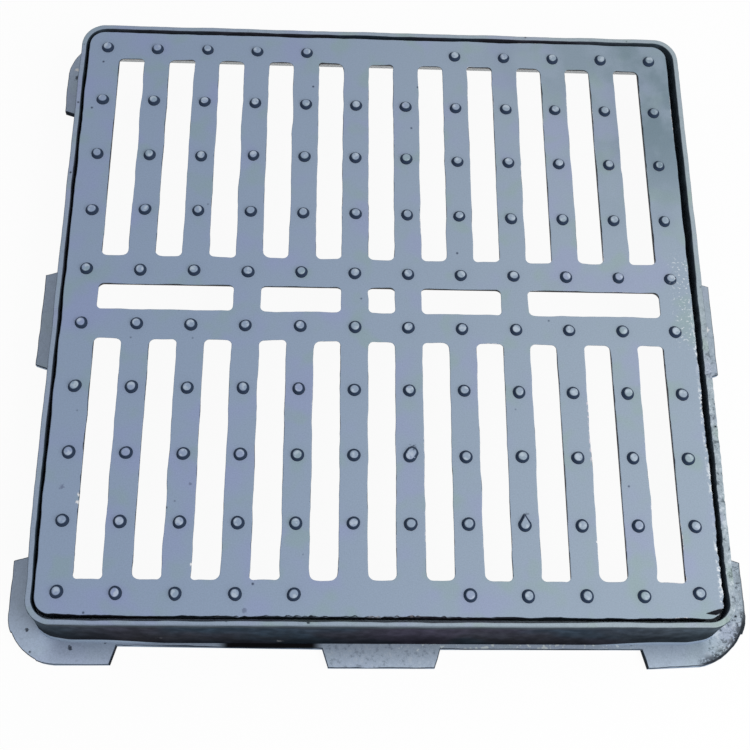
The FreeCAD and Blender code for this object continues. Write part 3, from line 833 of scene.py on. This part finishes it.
def grate_coat():
    coat = Coat("grate_coat", pit_share=0.015)
    # Faces below the walking surface, such as the floors of chips, keep the dark colour: painted shade in
    # the chips.
    above_chips = fade(coat.tree, coat.z, walking_surface - 1.8 * MM, walking_surface - 0.9 * MM)
    # Faces that look up get the pale coat: partly dust, partly a painted reflection of the sky.
    dust_and_sheen_top = product(coat.tree, coat.looks["Up"], above_chips)
    base = blend_colours(coat.tree, dust_and_sheen_top, grate_walls(coat), grate_top(coat))
    return coat.finish(rub_grate(coat, base), smoothest=0.46, roughest=0.60, mirror=0.06)


grate_piece.data.materials.clear()
grate_piece.data.materials.append(grate_coat())
print(grate_piece.name, "wears", grate_piece.data.materials[0].name)

# %% [markdown]
# ## The frame's coat: rim and lugs
#
# The rim and the lugs are as pale as the grate, but rougher. Pits, dark grit and bright crumbs of sand
# sit on the lugs, most of all at the middle of the front and at the front right, and on the front half of
# the right rim. So the colours need to know what lies on a lug, what lies at the front, and how far
# beyond the rim a point is.

# %% What the colours of the frame are placed by
rim_ends = (0.3034, 0.2997)
lug_wear_centre = (0.2757, -0.2694, 0.0)


class FrameCoat(Coat):
    def __init__(self, name, pit_share):
        super().__init__(name, pit_share)
        tree, x, y = self.tree, self.x, self.y
        self.on_lugs = fade_out(tree, self.z, lug_tops + 2 * MM, lug_tops + 6 * MM)
        self.at_front = fade_out(tree, y, -0.300, -0.290)
        across = calculate(tree, "SUBTRACT", calculate(tree, "ABSOLUTE", x, 0.0), rim_ends[0])
        along = calculate(tree, "SUBTRACT", calculate(tree, "ABSOLUTE", y, 0.0), rim_ends[1])
        self.beyond_rim = largest(tree, across, along)
        # How far out a point of the front right lug is: round its corner, and sideways further back.
        front_part = calculate(tree, "MINIMUM", y, lug_wear_centre[1])
        level = add_node(tree, "ShaderNodeCombineXYZ", {"X": x, "Y": front_part}).outputs[0]
        self.reach = distance(tree, level, lug_wear_centre)
        self.right_lug = product(tree, self.on_lugs, fade(tree, x, 0.280, 0.292),
                                 fade_out(tree, y, -0.210, -0.180),
                                 fade(tree, self.reach, 0.042, 0.056, 0.15, 1.0))


print("the rim ends at", rim_ends, "m")


# %% Pale coat of the rim and the lugs, with its grit
def frame_top(coat):
    tree, place, x, y = coat.tree, coat.place, coat.x, coat.y
    # Pale coat, partly dust and partly a painted reflection of the sky.
    base = add_node(tree, "ShaderNodeGroup", {"Left": colour(0.270, 0.335, 0.440),
                                              "Right": colour(0.330, 0.395, 0.440)},
                    node_tree=stained_sheen_coat).outputs["Colour"]
    # Painted light: the lugs are made paler, to make up for the shade of the wall beside them.
    paler = product(tree, coat.on_lugs, fade(tree, x, 0.290, 0.305, 0.55, 0.22))
    base = blend_colours(tree, paler, base, colour(0.50, 0.60, 0.76))
    base = tint(tree, base, fade(tree, coat.skin["Grain"], 0.30, 0.70, 0.93, 1.07))
    middle_lug = product(tree, coat.on_lugs, coat.at_front, stretch(tree, x, -0.055, 0.055, 0.01), 0.45)
    right_rim = product(tree, fade(tree, x, 0.292, 0.296), fade_out(tree, y, -0.10, 0.05))
    rough = largest(tree, middle_lug, coat.right_lug, right_rim)
    grit = clouds(tree, place, 0.0060, 5.0, 0.75)
    dark_grit = product(tree, fade(tree, grit, 0.53, 0.62), fade(tree, rough, 0.0, 1.0, 0.10, 0.70))
    pale_grit = product(tree, fade_out(tree, grit, 0.38, 0.47), rough, 0.6)
    base = blend_colours(tree, dark_grit, base, colour(0.045, 0.060, 0.075))
    return blend_colours(tree, pale_grit, base, colour(0.62, 0.68, 0.74))


print("rim and lugs ready")

# %% [markdown]
# ## Dirt, marks and painted shade on the frame
#
# The outline of the front right lug is dark, with short strokes inside it. The front lugs darken towards
# the foot of the wall, partly with dirt washed off the wall by rain and partly with painted shade. The
# narrow foot in front of the wall is nearly black to the left of the middle lug, and speckled to the right
# of it. Holes, bright spots and crumbs are counted, as on the grate.

# %% Marks that can be counted on the frame, in mm: x, y, z and radius
holes = ((-312.1, -296.0, 6, 2.0), (-273.3, -311.3, 6, 2.6), (-261.7, -304.4, 6, 1.8),
         (-243.0, -306.0, 6, 1.6), (-319.3, 276.1, 6, 3.6), (-64.5, -295.4, 65, 1.8))
bright_spots = ((-321.2, 286.1, 6, 2.4), (325.1, 0.1, 6, 3.0), (-60.5, -294.5, 65, 1.5))
wall_crumbs = ((-193.0, -302.8, 24, 3.0), (-90.5, -303.4, 15, 4.0))
print(len(holes) + len(bright_spots) + len(wall_crumbs), "marks on the frame")


# %% Dirt, wear, marks and painted shade on the lugs
def lug_marks_and_shade(coat, base):
    tree, place, x, y = coat.tree, coat.place, coat.x, coat.y
    round_corner = fade(tree, y, -0.290, -0.262, 1.0, 0.4)
    strokes = product(tree, coat.right_lug, round_corner, fade(tree, coat.reach, 0.0450, 0.0525),
                      patches(tree, place, 0.0045, 0.46, 0.56, detail=4.0, roughness=0.7), 0.85)
    outline = product(tree, coat.right_lug, round_corner, fade(tree, coat.reach, 0.0530, 0.0547), 0.95)
    base = blend_colours(tree, largest(tree, strokes, outline), base, colour(0.010, 0.012, 0.016))
    base = blend_colours(tree, coat.skin["Pits"], base, colour(0.015, 0.020, 0.030))
    # Darker towards the foot of the wall: partly dirt, partly painted shade of the corner.
    foot_dirt_and_shade = product(tree, coat.on_lugs, fade_out(tree, y, -0.290, -0.200),
                     fade(tree, x, -0.300, -0.280), fade_out(tree, x, 0.285, 0.303),
                     fade_out(tree, coat.beyond_rim, 0.004, 0.032, 0.50))
    base = blend_colours(tree, foot_dirt_and_shade, base, colour(0.040, 0.052, 0.078))
    holed = product(tree, marks(tree, place, holes), 0.85)
    base = blend_colours(tree, holed, base, colour(0.008, 0.012, 0.022))
    base = blend_colours(tree, marks(tree, place, bright_spots), base, colour(0.75, 0.76, 0.78))
    # Nearly black strip on the narrow foot, left of the middle lug.
    black_foot_strip = product(tree, coat.on_lugs, stretch(tree, y, -0.3200, -0.3020, 0.001),
                    stretch(tree, x, -0.135, -0.062, 0.012))
    base = blend_colours(tree, black_foot_strip, base, colour(0.005, 0.005, 0.006))
    crumbs = product(tree, coat.on_lugs, stretch(tree, y, -0.312, -0.302, 0.002),
                     stretch(tree, x, 0.03, 0.20, 0.04), patches(tree, place, 0.0035, 0.58, 0.66), 0.6)
    return blend_colours(tree, crumbs, base, colour(0.55, 0.61, 0.62))


print("dirt on the lugs ready")

# %% [markdown]
# ## The wall of the frame
#
# Outside, the wall is nearly black. It is paler towards its ends, and darker near the ground, which is
# painted shade. Pale silt lies against its foot, and climbs a centimetre towards the two front corners.
# Inside the frame, below the seat, the whole wall is painted nearly white: painted light, since little
# light reaches it. A face looks out or in by whether its normal points away from the middle or towards it.


# %% Wall outside and inside
def frame_wall(coat):
    tree, place, x = coat.tree, coat.place, coat.x
    ends = calculate(tree, "ADD", fade(tree, x, 0.16, 0.30, 0.05, 0.9),
                     fade_out(tree, x, -0.30, -0.20, 0.4))
    wall = dark_walls(tree, place, ends)
    normal = add_node(tree, "ShaderNodeTexCoord").outputs["Normal"]
    outwards = add_node(tree, "ShaderNodeVectorMath", {0: normal, 1: place},
                        operation="DOT_PRODUCT").outputs["Value"]
    silt_climb = fade(tree, calculate(tree, "ABSOLUTE", x, 0.0), 0.180, 0.250, 0.0, 0.012)
    above_silt = calculate(tree, "SUBTRACT", coat.z, product(tree, coat.at_front, silt_climb))
    # Painted shade: the outer wall darkens towards the ground.
    wall = tint(tree, wall, fade(tree, above_silt, 0.012, 0.055, 0.32, 1.0))
    silted = product(tree, fade_out(tree, above_silt, 0.0040, 0.0060), fade(tree, outwards, 0.0, 0.05))
    wall = blend_colours(tree, silted, wall, colour(0.30, 0.38, 0.50))
    # Painted light: the inner wall below the seat is nearly white, though little light reaches it.
    inside = product(tree, fade_out(tree, outwards, -0.15, -0.05),
                     fade_out(tree, coat.beyond_rim, 0.003, 0.004),
                     fade_out(tree, coat.z, 0.034, 0.040))
    wall = blend_colours(tree, inside, wall, colour(0.70, 0.72, 0.73))
    crumbs = product(tree, marks(tree, place, wall_crumbs), 0.25)
    return blend_colours(tree, crumbs, wall, colour(0.45, 0.47, 0.50))


print("wall of the frame ready")

# %% [markdown]
# ## The frame's coat put together
#
# The pale coat goes on the faces that look up, where it is partly a painted reflection of the sky, and on
# the top of the right wall, which handling has bared. The round edges of the lugs and the outer edge of
# the front rim are darkened with painted shade.


# %% Whole coat of the frame
def frame_coat():
    coat = FrameCoat("frame_coat", pit_share=0.06)
    tree, z = coat.tree, coat.z
    bared = product(tree, fade(tree, coat.x, 0.2985, 0.3000), fade_out(tree, coat.y, -0.08, 0.0, 0.85),
                    fade(tree, z, 0.052, 0.060))
    # Faces that look up get the pale coat, partly a painted reflection of the sky; the top of the right
    # wall is bared by wear.
    pale = largest(tree, coat.looks["Up"], bared)
    base = blend_colours(tree, pale, frame_wall(coat), lug_marks_and_shade(coat, frame_top(coat)))
    # Painted shade along the round edges of the lugs.
    lug_edge_shade = product(tree, coat.on_lugs, coat.looks["Edge"], 0.85)
    base = blend_colours(tree, lug_edge_shade, base, colour(0.020, 0.028, 0.040))
    # Painted shade on the sloping outer edge of the front rim.
    rim_edge_shade = product(tree, coat.at_front, fade(tree, z, 0.060, 0.062),
                          fade(tree, coat.beyond_rim, -0.0022, -0.0004), 0.7)
    base = blend_colours(tree, rim_edge_shade, base, colour(0.060, 0.075, 0.090))
    return coat.finish(base, smoothest=0.60, roughest=0.80, mirror=0.01)


frame_piece.data.materials.clear()
frame_piece.data.materials.append(frame_coat())
print(frame_piece.name, "wears", frame_piece.data.materials[0].name)

# %% [markdown]
# ## Floor
#
# The castings lie on a plain white table that is lit from below as well, as photographers use for
# cut-outs, so the slots show white and the inside of the frame isn't black. The rest of its white comes
# from the lamp and the sky, which keeps a soft shadow. The glow that the camera sees is stronger than
# the glow that lights the castings.


# %% White floor
def seen_directly(tree):
    """1 for what the camera sees, also in a reflection or through glass."""
    path = add_node(tree, "ShaderNodeLightPath").outputs
    return largest(tree, path["Is Camera Ray"], path["Is Glossy Ray"], path["Is Transmission Ray"])


def floor_white():
    material = bpy.data.materials.new("floor_white")
    material.use_nodes = True
    tree = material.node_tree
    shader = tree.nodes["Principled BSDF"]
    shader.inputs["Base Color"].default_value = colour(0.86, 0.86, 0.86)
    shader.inputs["Roughness"].default_value = 0.9
    shader.inputs["Specular IOR Level"].default_value = 0.1
    glow = add_node(tree, "ShaderNodeEmission", {"Color": colour(1, 1, 1), "Strength": 1.0})
    glow_share = fade(tree, seen_directly(tree), 0.0, 1.0, 0.50, 0.94)
    mixed = add_node(tree, "ShaderNodeMixShader", {0: glow_share, 1: shader.outputs[0], 2: glow.outputs[0]})
    tree.links.new(mixed.outputs[0], tree.nodes["Material Output"].inputs["Surface"])
    return material


floor_shape = bmesh.new()
bmesh.ops.create_grid(floor_shape, x_segments=1, y_segments=1, size=4.0)
bmesh.ops.translate(floor_shape, verts=floor_shape.verts, vec=(0, 0, -0.5 * MM))
floor_mesh = bpy.data.meshes.new("floor")
floor_shape.to_mesh(floor_mesh)
floor_shape.free()
floor_mesh.materials.append(floor_white())
floor = bpy.data.objects.new("floor", floor_mesh)
bpy.context.scene.collection.objects.link(floor)
print("floor", round(floor.dimensions.x, 1), "m wide")

# %% [markdown]
# ## Light and backdrop
#
# A soft lamp above the front right makes that side lighter, as in the photograph, and a white sky fills
# the rest. The sky is weaker as a light than as a backdrop, so the pale iron doesn't clip to white.

# %% Lamp and sky
lamp = bpy.data.lights.new("key", "AREA")
lamp.shape = "SQUARE"
lamp.size = 1.1
lamp.energy = 15
key = bpy.data.objects.new("key", lamp)
key.location = (0.95, -0.55, 1.25)
key.rotation_euler = (-key.location).to_track_quat("-Z", "Y").to_euler()
bpy.context.scene.collection.objects.link(key)

world = bpy.data.worlds.new("studio")
bpy.context.scene.world = world
world.use_nodes = True
sky = world.node_tree
background = sky.nodes["Background"]
background.inputs["Color"].default_value = colour(1, 1, 1)
sky.links.new(fade(sky, seen_directly(sky), 0.0, 1.0, 0.60, 1.0), background.inputs["Strength"])
